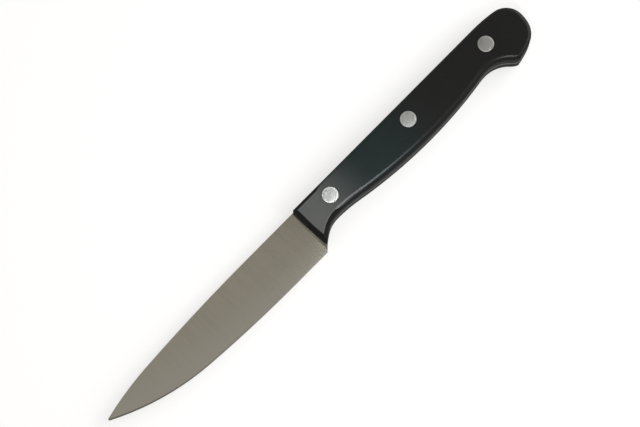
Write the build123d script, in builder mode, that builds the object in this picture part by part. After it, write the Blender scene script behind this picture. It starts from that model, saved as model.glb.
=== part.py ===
from build123d import *
import math
import os

# A paring knife with a full tang: one steel blank, two handle scales and three
# two-part rivets. It lies on its right scale. The blade points along +X, its cutting
# edge faces +Y and its left side faces up. All sizes are in millimetres.

# Blade. Lengths run forward from the handle, depths run down from the spine.
blade_length = 99.3
blade_depth = 18.9
blade_thickness = 1.5
tip_depth = 5.25
tip_round = 0.5
spine_straight = 25.5
edge_straight = 16.0
heel_rise = 2.2
tip_spine_angle = 14.0
tip_edge_angle = 28.5
spine_arc_share = 0.684
edge_arc_share = 0.506

# Grinding of the blade. The stock left behind the edge is thin, and the blade gets
# thinner towards the tip. The plunge is the round where the grinding starts.
edge_stock = 0.30
spine_stock_at_tip = 0.45
edge_stock_at_tip = 0.16
plunge_gap = 0.2
plunge_radius = 0.7
bevel_angle = 14.0
bevel_reach = 1.5
cutting_flat = 0.05

# Handle. Reaches run back from its front edge, depths run down from its back.
handle_length = 109.0
handle_thickness = 15.0
front_depth = 16.7
front_sweep = 0.7
front_straight = 8.0
throat_reach = 10.5
throat_depth = 12.3
belly_reach = 55.2
belly_depth = 16.2
waist_depth = 13.95
beak_depth = 19.6
butt_depth = 8.4
waist_to_beak = 11.4
beak_to_butt = 12.3
butt_curve_length = 16.5
butt_corner_rise = 4.3
butt_corner_inset = 2.0
front_corner_angle = 40.5
beak_front_angle = 24.0
beak_rear_angle = 8.0
butt_corner_angle = 53.0
throat_arc_share = 0.587
grip_arc_share = 0.768
belly_arc_share = 0.084
beak_arc_share = 0.212
butt_under_arc_share = 0.4
butt_end_arc_share = 0.5
butt_top_arc_share = 0.44

# Rounded edges of the scales' outer faces.
back_round = 1.3
belly_round = 1.9

# Rivets. Each is a sleeve and a stud pressed into one another, and both heads are
# ground flush with the scales.
front_rivet_inset = 13.2
rear_rivet_inset = 17.1
front_rivet_depth = 5.65
rear_rivet_depth = 7.1
rivet_head_diameter = 6.2
rivet_head_thickness = 1.5
rim_chamfer = 0.25
sleeve_diameter = 3.6
stud_diameter = 2.4
sleeve_end_gap = 0.6
stud_end_gap = 0.5
bore_cap = 0.8
lead_chamfer = 0.2
head_fit = 0.02
press_fit = 0.02
hole_clearance = 0.05

overrun = 2.0

os.makedirs("parts", exist_ok=True)

half_steel = blade_thickness / 2
hole_radius = sleeve_diameter / 2 + hole_clearance
half_handle = handle_thickness / 2
overall_depth = max(beak_depth, blade_depth)
side = Plane(
    origin=((handle_length - blade_length) / 2, -overall_depth / 2, half_handle),
    x_dir=(1, 0, 0),
    z_dir=(0, 0, 1),
)

# How far the two outlines that meet at the tip would reach if the tip were not rounded.
half_tip_angle = math.radians((tip_spine_angle + tip_edge_angle) / 2)
tip_lean = math.radians((tip_edge_angle - tip_spine_angle) / 2)
point_reach = blade_length + tip_round * (math.cos(tip_lean) / math.sin(half_tip_angle) - 1)

# Corners of the outlines, on the middle plane of the steel, from the place where the
# spine meets the handle.
spine_corner = (0, 0)
sweep_start = (0, front_straight)
front_corner = (-front_sweep, front_depth)
tip = (point_reach, tip_depth)
spine_end = (spine_straight, 0)
edge_end = (edge_straight, blade_depth)
heel = (heel_rise - front_sweep, blade_depth)
throat = (-throat_reach, throat_depth)
beak = (beak_to_butt - handle_length, beak_depth)
waist = (beak[0] + waist_to_beak, waist_depth)
belly = (-belly_reach, belly_depth)
butt = (-handle_length, butt_depth)
butt_corner = (butt_corner_inset - handle_length, beak_depth - butt_corner_rise)
back_end = (butt_curve_length - handle_length, 0)

front_rivet = (-front_rivet_inset, front_rivet_depth)
rear_rivet = (rear_rivet_inset - handle_length, rear_rivet_depth)
middle_rivet = (
    (front_rivet[0] + rear_rivet[0]) / 2,
    (front_rivet[1] + rear_rivet[1]) / 2,
)
rivet_places = {"front": front_rivet, "middle": middle_rivet, "rear": rear_rivet}


def heading(angle):
    """The direction at an angle from the line towards the tip, turning to the edge."""
    return Vector(math.cos(math.radians(angle)), math.sin(math.radians(angle)))


def curve(start, end, start_angle, end_angle, first_share):
    """Two arcs that meet smoothly. The share sets how far the first one reaches."""
    start = Vector(start)
    end = Vector(end)
    leaving = heading(start_angle)
    arriving = heading(end_angle)
    way = end - start
    ratio = (1 - first_share) / first_share
    run = way.dot(leaving) + ratio * way.dot(arriving)
    turn = 2 * ratio * (1 - leaving.dot(arriving))
    first = way.dot(way) / (run + math.sqrt(run * run + turn * way.dot(way)))
    second = first * ratio
    first_bend = start + leaving * first
    second_bend = end - arriving * second
    meeting = (first_bend * second + second_bend * first) / (first + second)
    TangentArc(start, meeting, tangent=leaving)
    TangentArc(meeting, end, tangent=second_bend - first_bend)


def draw_back():
    """The outline of tang and scales from the spine along the back, round to the beak."""
    Line(spine_corner, back_end)
    curve(back_end, butt, 180, 90, butt_top_arc_share)
    curve(butt, butt_corner, 90, butt_corner_angle, butt_end_arc_share)
    curve(butt_corner, beak, butt_corner_angle, beak_rear_angle, butt_under_arc_share)


def draw_underside():
    """The outline of tang and scales from the beak along the belly to the front corner."""
    curve(beak, waist, -beak_front_angle, 0, beak_arc_share)
    curve(waist, belly, 0, 0, belly_arc_share)
    curve(belly, throat, 0, 0, grip_arc_share)
    curve(throat, front_corner, 0, front_corner_angle, throat_arc_share)


def draw_edge():
    """The curved stretch of the cutting edge, up to the tip."""
    curve(edge_end, tip, 0, -tip_edge_angle, edge_arc_share)


def ground_half(x, depth):
    """Half of the ground steel's thickness at a place on the side of the blade."""
    along = x / blade_length
    down = depth / blade_depth
    at_spine = blade_thickness + (spine_stock_at_tip - blade_thickness) * along
    at_edge = edge_stock + (edge_stock_at_tip - edge_stock) * along
    return (at_spine + (at_edge - at_spine) * down) / 2


# What the grinding takes off the left side of the blade: everything outside a slightly
# twisted face that runs from the spine down to the edge and thins towards the tip.
grind_start = plunge_gap
grind_end = blade_length + overrun
grind_outside = half_steel + overrun
with BuildPart() as left_grind:
    for depth in (-overrun, blade_depth + overrun):
        level = Plane(side.from_local_coords((0, depth, 0)), x_dir=side.x_dir, z_dir=-side.y_dir)
        with BuildSketch(level):
            with BuildLine():
                Polyline(
                    (grind_start, ground_half(grind_start, depth)),
                    (grind_end, ground_half(grind_end, depth)),
                    (grind_end, grind_outside),
                    (grind_start, grind_outside),
                    close=True,
                )
            make_face()
    loft(ruled=True)
    fillet(left_grind.edges().group_by(Axis.X)[0].sort_by(Axis.Z)[0], plunge_radius)

# What the honing takes off the left side, along the cutting edge.
bevel_start = grind_start + plunge_radius
past_edge = blade_depth + bevel_reach + overrun
bevel_slope = math.radians(bevel_angle)
bevel_direction = side.z_dir * math.sin(bevel_slope) - side.y_dir * math.cos(bevel_slope)
past_tip = (grind_end, tip_depth - overrun * math.tan(math.radians(tip_edge_angle)))
with BuildPart() as left_bevel:
    with BuildSketch(side.offset(cutting_flat / 2)):
        with BuildLine():
            draw_edge()
            Polyline(
                edge_end,
                (bevel_start, blade_depth),
                (bevel_start, past_edge),
                (grind_end, past_edge),
                past_tip,
                tip,
            )
        make_face()
    extrude(amount=bevel_reach, dir=bevel_direction)

with BuildPart() as blade:
    with BuildSketch(side.offset(-half_steel)) as blank:
        with BuildLine():
            Line(spine_corner, spine_end)
            curve(spine_end, tip, 0, tip_spine_angle, spine_arc_share)
            draw_edge()
            Polyline(edge_end, heel, front_corner)
            draw_back()
            draw_underside()
        make_face()
        fillet(blank.vertices().sort_by(Axis.X)[-1], tip_round)
    extrude(amount=blade_thickness)
    for cut in (left_grind, left_bevel):
        add(cut.part, mode=Mode.SUBTRACT)
        mirror(cut.part, about=side, mode=Mode.SUBTRACT)
    with Locations(side.offset(half_steel)):
        with Locations(*rivet_places.values()):
            Hole(radius=hole_radius)
blade.part.label = "blade"
export_step(blade.part, "parts/blade.step")

# Left scale: a moulded piece that lies flat against the tang and follows its outline. Its
# outer edges are rounded, more along the belly than elsewhere, and the two roundings meet
# in crisp corners at the beak and at the front. So it is what two forms have in common,
# each with one of the roundings, and each reaching past those corners.
scale_thickness = half_handle - half_steel
past_beak = Vector(beak) + heading(beak_rear_angle) * overrun
before_beak = Vector(beak) - heading(-beak_front_angle) * overrun
past_front = Vector(front_corner) + heading(front_corner_angle) * overrun
with BuildPart() as back_form:
    with BuildSketch(side.offset(half_steel)):
        with BuildLine():
            draw_back()
            Line(spine_corner, sweep_start)
            front = TangentArc(sweep_start, front_corner, tangent=heading(90))
            Polyline(front @ 1, front @ 1 + (front % 1) * overrun, past_beak, beak)
        make_face()
    extrude(amount=scale_thickness)
    rim = back_form.faces().sort_by(Axis.Z)[-1].edges()
    fillet((rim.sort_by(Axis.Y)[0], rim.sort_by(Axis.X)[-1]), back_round)
with BuildPart() as left_scale:
    with BuildSketch(side.offset(half_steel)):
        with BuildLine():
            draw_underside()
            Polyline(
                front_corner,
                past_front,
                (overrun, -overrun),
                (-handle_length - overrun, -overrun),
                (-handle_length - overrun, beak_depth + overrun),
                before_beak,
                beak,
            )
        make_face()
    extrude(amount=scale_thickness)
    rim = left_scale.faces().sort_by(Axis.Z)[-1].edges()
    fillet(rim.sort_by_distance(side.from_local_coords(belly))[0], belly_round)
    add(back_form.part, mode=Mode.INTERSECT)
    with Locations(side.offset(half_handle)):
        with Locations(*rivet_places.values()):
            CounterBoreHole(
                radius=hole_radius,
                counter_bore_radius=rivet_head_diameter / 2 + head_fit,
                counter_bore_depth=rivet_head_thickness,
            )
left_scale.part.label = "left_scale"
export_step(left_scale.part, "parts/left_scale.step")

# Right scale: the mirror image of the left one.
with BuildPart() as right_scale:
    mirror(left_scale.part, about=side)
right_scale.part.label = "right_scale"
export_step(right_scale.part, "parts/right_scale.step")

# Rivets. The sleeve's head lies in the left scale and its shank reaches down through the
# tang, with a blind bore that is open below. The stud's head lies in the right scale and
# its pin is pressed up into that bore.
head_radius = rivet_head_diameter / 2
sleeve_radius = sleeve_diameter / 2
stud_radius = stud_diameter / 2
bore_radius = stud_radius + press_fit
seat = half_handle - rivet_head_thickness
sleeve_end = seat - sleeve_end_gap
bore_top = half_handle - bore_cap
stud_end = bore_top - stud_end_gap
for name, place in rivet_places.items():
    section = Plane(side.from_local_coords(place), x_dir=side.x_dir, z_dir=-side.y_dir)
    rivet_axis = Axis(section.origin, section.y_dir)
    with BuildPart() as sleeve:
        with BuildSketch(section):
            with BuildLine():
                Polyline(
                    (0, half_handle),
                    (head_radius - rim_chamfer, half_handle),
                    (head_radius, half_handle - rim_chamfer),
                    (head_radius, seat),
                    (sleeve_radius, seat),
                    (sleeve_radius, lead_chamfer - sleeve_end),
                    (sleeve_radius - lead_chamfer, -sleeve_end),
                    (bore_radius, -sleeve_end),
                    (bore_radius, bore_top),
                    (0, bore_top),
                    close=True,
                )
            make_face()
        revolve(axis=rivet_axis)
    sleeve.part.label = f"{name}_rivet_sleeve"
    export_step(sleeve.part, f"parts/{name}_rivet_sleeve.step")
    with BuildPart() as stud:
        with BuildSketch(section):
            with BuildLine():
                Polyline(
                    (0, -half_handle),
                    (head_radius - rim_chamfer, -half_handle),
                    (head_radius, rim_chamfer - half_handle),
                    (head_radius, -seat),
                    (stud_radius, -seat),
                    (stud_radius, stud_end - lead_chamfer),
                    (stud_radius - lead_chamfer, stud_end),
                    (0, stud_end),
                    close=True,
                )
            make_face()
        revolve(axis=rivet_axis)
    stud.part.label = f"{name}_rivet_stud"
    export_step(stud.part, f"parts/{name}_rivet_stud.step")
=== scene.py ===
import math

import bmesh
import bpy
from mathutils import Matrix, Vector


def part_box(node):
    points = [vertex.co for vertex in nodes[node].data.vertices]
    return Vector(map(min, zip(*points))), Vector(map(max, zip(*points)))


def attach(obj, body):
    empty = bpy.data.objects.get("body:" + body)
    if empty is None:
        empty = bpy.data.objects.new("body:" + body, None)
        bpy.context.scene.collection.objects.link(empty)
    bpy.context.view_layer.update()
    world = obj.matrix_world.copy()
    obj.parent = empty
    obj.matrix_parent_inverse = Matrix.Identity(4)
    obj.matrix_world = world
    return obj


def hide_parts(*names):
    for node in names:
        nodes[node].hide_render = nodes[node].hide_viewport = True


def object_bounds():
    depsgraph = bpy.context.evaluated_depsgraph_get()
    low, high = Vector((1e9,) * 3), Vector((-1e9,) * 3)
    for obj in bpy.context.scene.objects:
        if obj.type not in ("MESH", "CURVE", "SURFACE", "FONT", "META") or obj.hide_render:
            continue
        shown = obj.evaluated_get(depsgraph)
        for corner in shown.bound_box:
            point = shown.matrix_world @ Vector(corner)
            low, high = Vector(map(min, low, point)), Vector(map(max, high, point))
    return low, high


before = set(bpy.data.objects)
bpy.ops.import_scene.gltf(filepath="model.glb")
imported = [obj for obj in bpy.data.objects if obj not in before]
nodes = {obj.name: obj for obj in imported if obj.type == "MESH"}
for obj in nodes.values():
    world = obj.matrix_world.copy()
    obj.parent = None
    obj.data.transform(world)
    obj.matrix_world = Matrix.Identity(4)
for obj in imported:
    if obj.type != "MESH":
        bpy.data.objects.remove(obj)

solid_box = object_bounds()


# The table and its light
# The knife lies on its right side on a white table in a pale room. A wide soft panel
# behind the butt, one over the blade and a narrow strip beside the handle light it.

class Signal:
    """One socket of a finish, with the arithmetic that the finishes use."""

    def __init__(self, socket):
        self.socket = socket
        self.tree = socket.id_data

    def node(self, kind, settings, inputs, output=0):
        """Adds a node, sets it up, then gives its sockets their numbers or signals."""
        made = self.tree.nodes.new(kind)
        for name, value in settings.items():
            setattr(made, name, value)
        for name, value in inputs.items():
            if isinstance(value, Signal):
                self.tree.links.new(value.socket, made.inputs[name])
            else:
                made.inputs[name].default_value = value
        return Signal(made.outputs[output])

    def maths(self, operation, first, second=0.0):
        return self.node("ShaderNodeMath", {"operation": operation}, {0: first, 1: second})

    def __add__(self, other):
        return self.maths("ADD", self, other)

    __radd__ = __add__

    def __sub__(self, other):
        return self.maths("SUBTRACT", self, other)

    def __rsub__(self, other):
        return self.maths("SUBTRACT", other, self)

    def __mul__(self, other):
        return self.maths("MULTIPLY", self, other)

    __rmul__ = __mul__

    def part(self, axis):
        """One of this place's or direction's three numbers."""
        return self.node("ShaderNodeSeparateXYZ", {}, {"Vector": self}, axis)

    def step(self, start, end):
        """Goes smoothly from 0 at start to 1 at end."""
        inputs = {"Value": self, "From Min": start, "From Max": end}
        return self.node("ShaderNodeMapRange", {"interpolation_type": "SMOOTHSTEP"}, inputs)

    def blend(self, first, second):
        """A colour that goes from first to second as this signal goes from 0 to 1.
        The Mix node takes colours in sockets 6 and 7 and gives one in output 2."""
        settings = {"data_type": "RGBA"}
        return self.node("ShaderNodeMix", settings, {0: self, 6: first, 7: second}, 2)

    def show(self, socket="Surface", output="ShaderNodeOutputMaterial"):
        """Makes this signal what the tree shows."""
        shown = self.tree.nodes.new(output)
        self.tree.links.new(self.socket, shown.inputs[socket])


def start_finish(name):
    """A finish with an empty tree, and the place on the piece in the shared frame."""
    finish = bpy.data.materials.new(name)
    finish.use_nodes = True
    finish.node_tree.nodes.clear()
    place = finish.node_tree.nodes.new("ShaderNodeTexCoord")
    return finish, Signal(place.outputs["Object"])


white = (1.0, 1.0, 1.0, 1.0)
room_low = (0.70, 0.70, 0.70, 1.0)
room_high = (0.325, 0.312, 0.280, 1.0)
room = bpy.data.worlds.new("room")
room.use_nodes = True
room.node_tree.nodes.clear()
direction = Signal(room.node_tree.nodes.new("ShaderNodeTexCoord").outputs["Generated"])
room_glow = direction.part("Z").step(0.0, 1.0).blend(room_low, room_high)
seen = direction.node("ShaderNodeLightPath", {}, {}, "Is Camera Ray")
room_inputs = {"Color": seen.blend(room_glow, white), "Strength": 1.0}
direction.node("ShaderNodeBackground", {}, room_inputs).show(output="ShaderNodeOutputWorld")
bpy.context.scene.world = room

# The table is a hair below the lower scale's flat, so that the two never share a height.
table_side = 3.0
table_gap = 0.00002
table_colour = (0.62, 0.62, 0.62, 1.0)
table_lift = 0.56
table_level = Matrix.Translation((0.0, 0.0, -table_gap))
table_mesh = bpy.data.meshes.new("table")
table_form = bmesh.new()
bmesh.ops.create_grid(table_form, x_segments=1, y_segments=1, size=table_side / 2,
                      matrix=table_level)
table_form.to_mesh(table_mesh)
table_form.free()
table = bpy.data.objects.new("table", table_mesh)
bpy.context.scene.collection.objects.link(table)
table_finish, table_place = start_finish("white_table")
paint = table_place.node("ShaderNodeBsdfDiffuse", {}, {"Color": table_colour})
lift = table_place.node("ShaderNodeEmission", {}, {"Color": white, "Strength": table_lift})
lifted = table_place.node("ShaderNodeAddShader", {}, {0: paint, 1: lift})
camera_ray = table_place.node("ShaderNodeLightPath", {}, {}, "Is Camera Ray")
glossy_ray = table_place.node("ShaderNodeLightPath", {}, {}, "Is Glossy Ray")
clear_ray = table_place.node("ShaderNodeLightPath", {}, {}, "Is Transmission Ray")
bright_ray = glossy_ray.maths("MAXIMUM", glossy_ray, clear_ray)
any_ray = camera_ray.maths("MAXIMUM", camera_ray, bright_ray)
table_place.node("ShaderNodeMixShader", {}, {0: any_ray, 1: paint, 2: lifted}).show()
table_mesh.materials.append(table_finish)


def hang_softbox(name, place, target, size, radiance):
    """A lamp at place that shines at target. Its face has the given size and radiance."""
    light = bpy.data.lights.new(name, "AREA")
    light.shape = "RECTANGLE"
    light.size, light.size_y = size
    light.energy = radiance * math.pi * light.size * light.size_y
    lamp = bpy.data.objects.new(name, light)
    lamp.visible_camera = False
    lamp.matrix_world = (
        Matrix.Translation(place)
        @ (place - target).to_track_quat("Z", "Y").to_matrix().to_4x4())
    bpy.context.scene.collection.objects.link(lamp)


over_place = Vector((0.09, -0.02, 0.45))
over_target = Vector((0.09, -0.02, 0.0))
over_size = (0.26, 0.40)
over_radiance = 0.30
hang_softbox("over_light", over_place, over_target, over_size, over_radiance)
strip_place = Vector((-0.0325, 0.073, 0.215))
strip_target = Vector((-0.0325, 0.073, 0.0))
strip_size = (0.022, 0.12)
strip_radiance = 13.5
hang_softbox("strip_light", strip_place, strip_target, strip_size, strip_radiance)
side_place = Vector((-0.75, 0.22, 0.55))
side_target = Vector((0.0, 0.0, 0.0))
side_size = (1.10, 1.00)
side_radiance = 1.2
hang_softbox("side_light", side_place, side_target, side_size, side_radiance)

# The camera looks down almost upright, with the knife's tip at the lower left.
view_target = Vector((-0.00185, -0.0028, 0.0075))
view_width = 0.2302
view_lens = 200.0
view_sensor = 36.0
view_tilt = math.radians(9.0)
view_turn = math.radians(45.56)
view_right = Vector((-math.cos(view_turn), math.sin(view_turn), 0.0))
view_low = Vector((math.sin(view_turn), math.cos(view_turn), 0.0))
view_back = Vector((0.0, 0.0, 1.0)) * math.cos(view_tilt) + view_low * math.sin(view_tilt)
view_up = view_back.cross(view_right)
lens = bpy.data.cameras.new("camera")
lens.sensor_width = view_sensor
lens.lens = view_lens
camera = bpy.data.objects.new("camera", lens)
camera.matrix_world = (
    Matrix.Translation(view_target + view_back * view_width * view_lens / view_sensor)
    @ Matrix((view_right, view_up, view_back)).transposed().to_4x4())
bpy.context.scene.collection.objects.link(camera)
bpy.context.scene.camera = camera
bpy.context.scene.view_settings.view_transform = "Standard"


# The blade
# One blank of stainless steel, stamped out, hardened and ground thinner toward the edge
# and the tip. The wheel ran across it and left fine lines there, and the edge is honed.

steel_colour = (0.378, 0.355, 0.298, 1.0)
steel_dull = (0.338, 0.317, 0.266, 1.0)
# Painted sheen: the thin steel toward the edge is coloured paler and cooler.
steel_edge_sheen = (0.415, 0.396, 0.352, 1.0)
# Painted shade: the cut edges and the tang's rim are coloured near black, as dark as the shade
# they sit in.
steel_cut_shade = (0.085, 0.085, 0.081, 1.0)
# Painted shade: the honed bevel is coloured dark for the dark that it reflects.
steel_honed_shade = (0.21, 0.205, 0.185, 1.0)
steel_roughness = 0.15
cut_roughness = 0.55
honed_roughness = 0.45
line_roughness = 0.05
band_roughness = 0.03
line_height = 0.000008
line_scale = (7000.0, 180.0, 180.0)
line_detail = 2.0
line_share = 0.6
band_scale = (420.0, 30.0, 30.0)
band_detail = 3.0
edge_sheen_share = 0.7
# The blade's middle plane is the handle's; painted sheen makes the steel paler where it is thin.
middle_height = (solid_box[0][2] + solid_box[1][2]) / 2
half_thin = 0.00012
half_thick = 0.00042
# How upright a normal is tells the ground face, the honed bevel and the cut edges apart.
cut_lean = (0.4, 0.8)
honed_lean = (0.93, 0.96)
ground_lean = (0.976, 0.990)
# Noise keeps mostly to this part of its range.
noise_range = (0.3, 0.7)
blade_finish, blade_place = start_finish("satin_blade_steel")
facing = blade_place.node("ShaderNodeTexCoord", {}, {}, "Normal").part("Z")
upright = facing.maths("ABSOLUTE", facing)
above_middle = blade_place.part("Z") - middle_height
half_thickness = above_middle.maths("ABSOLUTE", above_middle)
thin = 1.0 - half_thickness.step(half_thin, half_thick)
honed = upright.step(*honed_lean) * (1.0 - upright.step(*ground_lean))
cut = 1.0 - upright.step(*cut_lean)
fine = blade_place.node("ShaderNodeMapping", {}, {"Vector": blade_place, "Scale": line_scale})
fine_inputs = {"Vector": fine, "Scale": 1.0, "Detail": line_detail}
wheel_lines = fine.node("ShaderNodeTexNoise", {}, fine_inputs)
broad = blade_place.node("ShaderNodeMapping", {}, {"Vector": blade_place, "Scale": band_scale})
broad_inputs = {"Vector": broad, "Scale": 1.0, "Detail": band_detail}
wheel_bands = broad.node("ShaderNodeTexNoise", {}, broad_inputs)
worn = (
    wheel_bands.step(*noise_range) * (1.0 - line_share)
    + wheel_lines.step(*noise_range) * line_share)
ground_colour = (thin * edge_sheen_share).blend(worn.blend(steel_colour, steel_dull), steel_edge_sheen)
blade_bump = {"Height": wheel_lines * (1.0 - cut), "Distance": line_height}
blade_place.node("ShaderNodeBsdfPrincipled", {}, {
    "Base Color": cut.blend(honed.blend(ground_colour, steel_honed_shade), steel_cut_shade),
    "Metallic": 1.0,
    "Roughness": (
        wheel_lines * line_roughness + wheel_bands * band_roughness
        + (steel_roughness - (line_roughness + band_roughness) / 2)
        + cut * (cut_roughness - steel_roughness)
        + honed * (honed_roughness - steel_roughness)),
    "Normal": blade_place.node("ShaderNodeBump", {}, blade_bump),
}).show()
nodes["blade"].data.materials.clear()
nodes["blade"].data.materials.append(blade_finish)


# The scales
# Two mirrored halves of black moulded plastic that clamp the tang. Their flats were
# buffed with the rivets; near the blade their colour is a painted sheen, paler there.

plastic_colour = (0.0025, 0.0125, 0.0145, 1.0)
# Painted shade: the darker black toward the butt stands in for the light falling off there; the
# teal is the plastic's tint.
plastic_shaded_black = (0.0035, 0.0038, 0.0035, 1.0)
# Painted sheen: the flats near the blade are coloured paler for the light they catch there.
plastic_painted_sheen = (0.108, 0.114, 0.113, 1.0)
plastic_moulded = (0.013, 0.0135, 0.013, 1.0)
flat_roughness = 0.21
flat_specular = 0.42
wall_roughness = 0.72
wall_specular = 0.10
# Places along the knife: darker black behind, a painted shade; teal from the middle on; painted
# sheen near the blade.
tint_shade_from, tint_shade_to = -0.062, -0.030
sheen_from, sheen_to = -0.026, 0.002
sheen_least = 0.75
sheen_cloud = 0.5
# The buffing reached some way over the rounded rims, but not at the crisp front end.
buff_from, buff_to = 0.60, 0.95
crisp_buff_from, crisp_buff_to = 0.98, 0.999
crisp_from, crisp_to = -0.0095, -0.0055
cloud_scale = 130.0
cloud_detail = 4.0
cloud_strength = 0.05
cloud_height = 0.0003
cloud_roughness = 0.04
wall_cloud_roughness = 0.06
buff_line_scale = (60.0, 1800.0, 1800.0)
buff_line_detail = 2.0
buff_line_roughness = 0.06
scale_finish, scale_place = start_finish("moulded_black_plastic")
along = scale_place.part("X")
crisp = along.step(crisp_from, crisp_to)
facing = scale_place.node("ShaderNodeTexCoord", {}, {}, "Normal").part("Z")
buffed = facing.node("ShaderNodeMapRange", {"interpolation_type": "SMOOTHSTEP"}, {
    "Value": facing.maths("ABSOLUTE", facing),
    "From Min": crisp * (crisp_buff_from - buff_from) + buff_from,
    "From Max": crisp * (crisp_buff_to - buff_to) + buff_to,
})
cloud_inputs = {"Vector": scale_place, "Scale": cloud_scale, "Detail": cloud_detail}
cloud = scale_place.node("ShaderNodeTexNoise", {}, cloud_inputs)
lengthwise_inputs = {"Vector": scale_place, "Scale": buff_line_scale}
lengthwise = scale_place.node("ShaderNodeMapping", {}, lengthwise_inputs)
buff_inputs = {"Vector": lengthwise, "Scale": 1.0, "Detail": buff_line_detail}
buff_lines = lengthwise.node("ShaderNodeTexNoise", {}, buff_inputs)
# Painted sheen on the flats near the blade, and painted shade in the darker black toward the
# butt.
painted_sheen = along.step(sheen_from, sheen_to) * buffed * (sheen_least + sheen_cloud * cloud)
tint_and_shade = along.step(tint_shade_from, tint_shade_to).blend(plastic_shaded_black, plastic_colour)
scale_bump = scale_place.node("ShaderNodeBump", {}, {
    "Height": cloud, "Strength": cloud_strength, "Distance": cloud_height})
flat_skin = scale_place.node("ShaderNodeBsdfPrincipled", {}, {
    "Base Color": painted_sheen.blend(tint_and_shade, plastic_painted_sheen),
    "Roughness": cloud * cloud_roughness + buff_lines * buff_line_roughness + flat_roughness,
    "Specular IOR Level": flat_specular,
    "Normal": scale_bump,
})
wall_skin = scale_place.node("ShaderNodeBsdfPrincipled", {}, {
    "Base Color": plastic_moulded,
    "Roughness": cloud * wall_cloud_roughness + wall_roughness,
    "Specular IOR Level": wall_specular,
    "Normal": scale_bump,
})
scale_place.node("ShaderNodeMixShader", {}, {0: buffed, 1: wall_skin, 2: flat_skin}).show()
for scale_name in ("left_scale", "right_scale"):
    nodes[scale_name].data.materials.clear()
    nodes[scale_name].data.materials.append(scale_finish)


# The rivets
# Three cutler's rivets of stainless steel, each a headed tube with a headed pin pressed
# into it. The heads are ground flush along the handle and buffed. A painted sheen brightens
# them toward the front, and a painted highlight rings each rim.

head_thickness = 0.0015
shank_radius = 0.0018
bore_radius = 0.00122
pin_radius = 0.0012
bore_cap = 0.0008
lead_chamfer = 0.0002
rim_round = 0.00035
rim_facets = 6
rim_width = 0.0009
turns = 72
crease_angle = math.radians(35.0)
join_distance = 1e-7
# Painted sheen: the head colours rise from rear to front, brightest near the blade.
rear_colour = (0.370, 0.373, 0.366, 1.0)
# Painted highlight: the rim colours are brighter than the faces, rear and front.
rear_rim_highlight = (0.46, 0.46, 0.44, 1.0)
front_sheen_colour = (0.62, 0.64, 0.64, 1.0)
front_rim_highlight = (0.90, 0.91, 0.90, 1.0)
rivet_sheen_from, rivet_sheen_to = -0.062, -0.010
streak_shade = (0.88, 0.88, 0.88, 1.0)
rivet_roughness = 0.30
grinding_scale = (500.0, 12000.0, 500.0)
grinding_detail = 2.0
grinding_height = 0.00005
grinding_roughness = 0.08


def turn_piece(name, centre, outline, finish):
    """A turned piece on an upright axis, from its outline of radius and height pairs.
    The outline's second point is the head's rim, which is rounded."""
    form = bmesh.new()
    points = [form.verts.new((centre.x + radius, centre.y, height)) for radius, height in outline]
    for first, second in zip(points, points[1:]):
        form.edges.new((first, second))
    bmesh.ops.bevel(form, geom=[points[1]], offset=rim_round, segments=rim_facets, profile=0.5,
                    affect="VERTICES", material=-1)
    bmesh.ops.spin(form, geom=form.verts[:] + form.edges[:], cent=centre, axis=(0.0, 0.0, 1.0),
                   angle=2 * math.pi, steps=turns, use_merge=True)
    bmesh.ops.remove_doubles(form, verts=form.verts, dist=join_distance)
    bmesh.ops.recalc_face_normals(form, faces=form.faces)
    mesh = bpy.data.meshes.new(name)
    form.to_mesh(mesh)
    form.free()
    mesh.shade_smooth()
    mesh.set_sharp_from_angle(angle=crease_angle)
    mesh.materials.append(finish)
    piece = bpy.data.objects.new(name, mesh)
    bpy.context.scene.collection.objects.link(piece)
    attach(piece, "root")
    return piece


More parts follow.
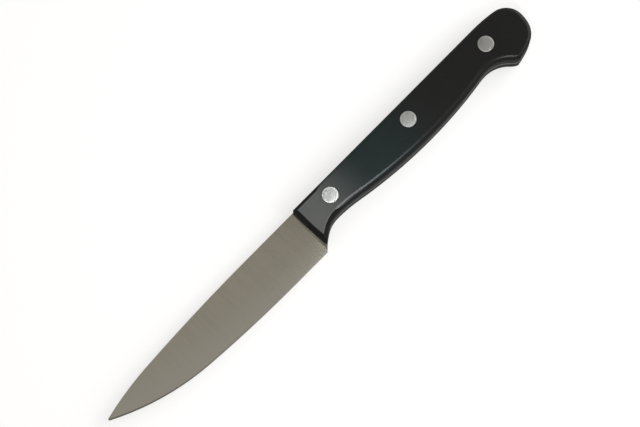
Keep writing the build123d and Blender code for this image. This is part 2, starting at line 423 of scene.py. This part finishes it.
def finish_rivet(name, centre, head_radius):
    """Steel with lines along the handle, painted sheen toward the blade, a painted rim highlight.
    """
    finish, place = start_finish(name)
    from_axis = place.node("ShaderNodeMapping", {}, {
        "Vector": place, "Scale": (1.0, 1.0, 0.0), "Location": (-centre.x, -centre.y, 0.0)})
    length = {"operation": "LENGTH"}
    distance = from_axis.node("ShaderNodeVectorMath", length, {0: from_axis}, "Value")
    rim = distance.step(head_radius - rim_width, head_radius - rim_width / 2)
    streaks = place.node("ShaderNodeMapping", {}, {"Vector": place, "Scale": grinding_scale})
    grinding = streaks.node("ShaderNodeTexNoise", {}, {
        "Vector": streaks, "Scale": 1.0, "Detail": grinding_detail})
    rivet_sheen = place.part("X").step(rivet_sheen_from, rivet_sheen_to)
    face_colour = rivet_sheen.blend(rear_colour, front_sheen_colour)
    head_colour = rim.blend(face_colour, rivet_sheen.blend(rear_rim_highlight, front_rim_highlight))
    shade = grinding.step(*noise_range).blend(white, streak_shade)
    shaded = shade.node("ShaderNodeMix", {"data_type": "RGBA", "blend_type": "MULTIPLY"},
                        {0: 1.0, 6: head_colour, 7: shade}, 2)
    head_bump = {"Height": grinding, "Distance": grinding_height}
    place.node("ShaderNodeBsdfPrincipled", {}, {
        "Base Color": shaded,
        "Metallic": 1.0,
        "Roughness": grinding * grinding_roughness + (rivet_roughness - grinding_roughness / 2),
        "Normal": place.node("ShaderNodeBump", {}, head_bump),
    }).show()
    return finish


for place_name in ("front", "middle", "rear"):
    sleeve_low, sleeve_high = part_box(f"{place_name}_rivet_sleeve")
    stud_low, stud_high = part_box(f"{place_name}_rivet_stud")
    head_radius = (sleeve_high.x - sleeve_low.x) / 2
    centre = (sleeve_low + sleeve_high) / 2
    rivet_finish = finish_rivet(f"{place_name}_rivet_steel", centre, head_radius)
    bore_top = sleeve_high.z - bore_cap
    sleeve = turn_piece(f"{place_name}_rivet_tube", centre, [
        (0.0, sleeve_high.z),
        (head_radius, sleeve_high.z),
        (head_radius, sleeve_high.z - head_thickness),
        (shank_radius, sleeve_high.z - head_thickness),
        (shank_radius, sleeve_low.z + lead_chamfer),
        (shank_radius - lead_chamfer, sleeve_low.z),
        (bore_radius, sleeve_low.z),
        (bore_radius, bore_top),
        (0.0, bore_top),
    ], rivet_finish)
    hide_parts(f"{place_name}_rivet_sleeve")
    stud = turn_piece(f"{place_name}_rivet_pin", centre, [
        (0.0, stud_low.z),
        (head_radius, stud_low.z),
        (head_radius, stud_low.z + head_thickness),
        (pin_radius, stud_low.z + head_thickness),
        (pin_radius, stud_high.z - lead_chamfer),
        (pin_radius - lead_chamfer, stud_high.z),
        (0.0, stud_high.z),
    ], rivet_finish)
    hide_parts(f"{place_name}_rivet_stud")
